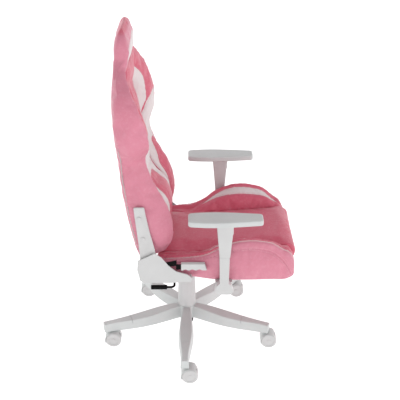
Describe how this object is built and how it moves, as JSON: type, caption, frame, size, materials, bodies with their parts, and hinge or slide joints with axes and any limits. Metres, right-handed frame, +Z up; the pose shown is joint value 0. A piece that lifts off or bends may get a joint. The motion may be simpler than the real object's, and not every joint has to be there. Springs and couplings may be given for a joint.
{
  "type": "gaming chair",
  "caption": "Gaming chair with a winged, reclining backrest, bucket seat, height-adjustable armrests, gas lift and a five-arm base on casters.",
  "frame": {"origin": "on the floor, on the axis of the column", "axes": "+X the way the sitter faces, +Y the sitter's left, +Z up"},
  "size_m": [0.73, 0.6592, 1.272],
  "materials": {
    "white_nylon": "satin",
    "white_cover": "satin",
    "white_wheel": "satin",
    "pad_foam": "matte",
    "white_steel": "satin",
    "black_steel": "satin",
    "black_plastic": "satin",
    "zinc_steel": "satin",
    "chrome_rod": "polished",
    "bush_nylon": "satin",
    "pink_leather": "satin",
    "rose_leather": "satin",
    "strap": "matte"
  },
  "bodies": {
    "base": {"base_star": "white_nylon", "base_arm_caps": "white_nylon", "gas_lift_tube": "black_steel", "guide_bush": "bush_nylon", "column_cover_outer": "white_cover"},
    "piston": {"piston_rod": "chrome_rod", "thrust_bearing": "zinc_steel"},
    "cover_middle": {"column_cover_middle": "white_cover"},
    "carriage": {"gas_cylinder": "chrome_rod", "column_cover_inner": "white_cover", "tilt_housing": "black_steel", "tilt_shaft": "zinc_steel", "tilt_spring": "zinc_steel"},
    "valve_pin": {"valve_pin": "zinc_steel"},
    "lift_lever": {"lift_lever_rod": "black_steel", "lift_lever_grip": "black_plastic"},
    "tension_knob": {"tension_knob": "black_plastic", "tension_bolt": "zinc_steel"},
    "seat": {"seat_plate": "black_steel", "seat_bolts": "zinc_steel", "seat_frame": "black_steel", "seat_webbing": "strap", "seat_cushion": "rose_leather", "seat_bolster_left": "pink_leather", "seat_bolster_right": "pink_leather", "recliner_plates": "white_steel", "recliner_hubs": "black_steel", "side_cover_left": "white_cover", "side_cover_right": "white_cover", "cover_screws": "zinc_steel", "armrest_left_bracket": "white_cover", "armrest_right_bracket": "white_cover", "recline_spring": "zinc_steel"},
    "backrest": {"back_frame": "black_steel", "recliner_arm_left": "white_steel", "recliner_arm_right": "white_steel", "arm_bolts": "white_steel", "back_cushion": "rose_leather", "back_wing_left": "pink_leather", "back_wing_right": "pink_leather", "head_cushion": "pink_leather"},
    "recline_lever": {"recline_lever": "black_steel", "recline_grip": "white_cover", "recline_shaft": "zinc_steel"},
    "armrest_left": {"armrest_left_sleeve": "white_cover", "armrest_left_pad": "pad_foam"},
    "armrest_right": {"armrest_right_sleeve": "white_cover", "armrest_right_pad": "pad_foam"},
    "armrest_left_button": {"armrest_left_button": "white_cover"},
    "armrest_right_button": {"armrest_right_button": "white_cover"},
    "caster_1": {"caster_1_fork": "white_nylon"},
    "wheel_1": {"caster_1_wheels": "white_wheel"},
    "caster_2": {"caster_2_fork": "white_nylon"},
    "wheel_2": {"caster_2_wheels": "white_wheel"},
    "caster_3": {"caster_3_fork": "white_nylon"},
    "wheel_3": {"caster_3_wheels": "white_wheel"},
    "caster_4": {"caster_4_fork": "white_nylon"},
    "wheel_4": {"caster_4_wheels": "white_wheel"},
    "caster_5": {"caster_5_fork": "white_nylon"},
    "wheel_5": {"caster_5_wheels": "white_wheel"}
  },
  "joints": [
    {"name": "seat_swivel", "type": "hinge", "parent": "base", "child": "piston", "pos_m": [0, 0, 0.06], "axis": [0, 0, 1], "continuous": true},
    {"name": "seat_lift", "type": "slide", "parent": "piston", "child": "carriage", "axis": [0, 0, 1], "range_m": [0, 0.08]},
    {"name": "cover_slide", "type": "slide", "parent": "base", "child": "cover_middle", "axis": [0, 0, 1], "range_m": [0, 0.04]},
    {"name": "valve_press", "type": "slide", "parent": "carriage", "child": "valve_pin", "axis": [0, 0, -1], "range_m": [0, 0.0065]},
    {"name": "lift_lever_pull", "type": "hinge", "parent": "carriage", "child": "lift_lever", "pos_m": [-0.044, 0, 0.331], "axis": [0, 1, 0], "range_deg": [0, 8], "stiffness_Nm_per_rad": 2, "springref_deg": -17.19},
    {"name": "seat_tilt", "type": "hinge", "parent": "carriage", "child": "seat", "pos_m": [0.045, 0, 0.34], "axis": [0, -1, 0], "range_deg": [0, 10], "stiffness_Nm_per_rad": 150, "springref_deg": -20.05, "deforming": ["tilt_spring"]},
    {"name": "tension_turn", "type": "hinge", "parent": "seat", "child": "tension_knob", "pos_m": [0.15, 0, 0.256], "axis": [0, 0, 1], "range_deg": [-180, 180]},
    {"name": "back_recline", "type": "hinge", "parent": "seat", "child": "backrest", "pos_m": [-0.135, 0, 0.435], "axis": [0, -1, 0], "range_deg": [0, 50]},
    {"name": "recline_lever_pull", "type": "hinge", "parent": "seat", "child": "recline_lever", "pos_m": [-0.135, 0, 0.435], "axis": [0, -1, 0], "range_deg": [0, 12], "stiffness_Nm_per_rad": 3, "springref_deg": -20.05},
    {"name": "armrest_left_height", "type": "slide", "parent": "seat", "child": "armrest_left", "axis": [0, 0, 1], "range_m": [0, 0.06]},
    {"name": "armrest_left_press", "type": "slide", "parent": "armrest_left", "child": "armrest_left_button", "axis": [-1, 0, 0], "range_m": [0, 0.003], "stiffness_N_per_m": 400, "springref_m": -0.003},
    {"name": "armrest_right_height", "type": "slide", "parent": "seat", "child": "armrest_right", "axis": [0, 0, 1], "range_m": [0, 0.06]},
    {"name": "armrest_right_press", "type": "slide", "parent": "armrest_right", "child": "armrest_right_button", "axis": [-1, 0, 0], "range_m": [0, 0.003], "stiffness_N_per_m": 400, "springref_m": -0.003},
    {"name": "caster_1_swivel", "type": "hinge", "parent": "base", "child": "caster_1", "pos_m": [-0.00726, -0.31992, 0.06], "axis": [0, 0, 1], "continuous": true},
    {"name": "wheel_1_roll", "type": "hinge", "parent": "caster_1", "child": "wheel_1", "pos_m": [0.01074, -0.31992, 0.03], "axis": [0, 1, 0], "continuous": true},
    {"name": "caster_2_swivel", "type": "hinge", "parent": "base", "child": "caster_2", "pos_m": [0.30202, -0.10576, 0.06], "axis": [0, 0, 1], "continuous": true},
    {"name": "wheel_2_roll", "type": "hinge", "parent": "caster_2", "child": "wheel_2", "pos_m": [0.32002, -0.10576, 0.03], "axis": [0, 1, 0], "continuous": true},
    {"name": "caster_3_swivel", "type": "hinge", "parent": "base", "child": "caster_3", "pos_m": [0.19392, 0.25455, 0.06], "axis": [0, 0, 1], "continuous": true},
    {"name": "wheel_3_roll", "type": "hinge", "parent": "caster_3", "child": "wheel_3", "pos_m": [0.21192, 0.25455, 0.03], "axis": [0, 1, 0], "continuous": true},
    {"name": "caster_4_swivel", "type": "hinge", "parent": "base", "child": "caster_4", "pos_m": [-0.18217, 0.26309, 0.06], "axis": [0, 0, 1], "continuous": true},
    {"name": "wheel_4_roll", "type": "hinge", "parent": "caster_4", "child": "wheel_4", "pos_m": [-0.16417, 0.26309, 0.03], "axis": [0, 1, 0], "continuous": true},
    {"name": "caster_5_swivel", "type": "hinge", "parent": "base", "child": "caster_5", "pos_m": [-0.3065, -0.09195, 0.06], "axis": [0, 0, 1], "continuous": true},
    {"name": "wheel_5_roll", "type": "hinge", "parent": "caster_5", "child": "wheel_5", "pos_m": [-0.2885, -0.09195, 0.03], "axis": [0, 1, 0], "continuous": true}
  ],
  "couplings": [
    {"joint": "cover_slide", "follows": "seat_lift", "ratio": 0.5},
    {"joint": "valve_press", "follows": "lift_lever_pull", "m_per_rad": 0.044}
  ]
}
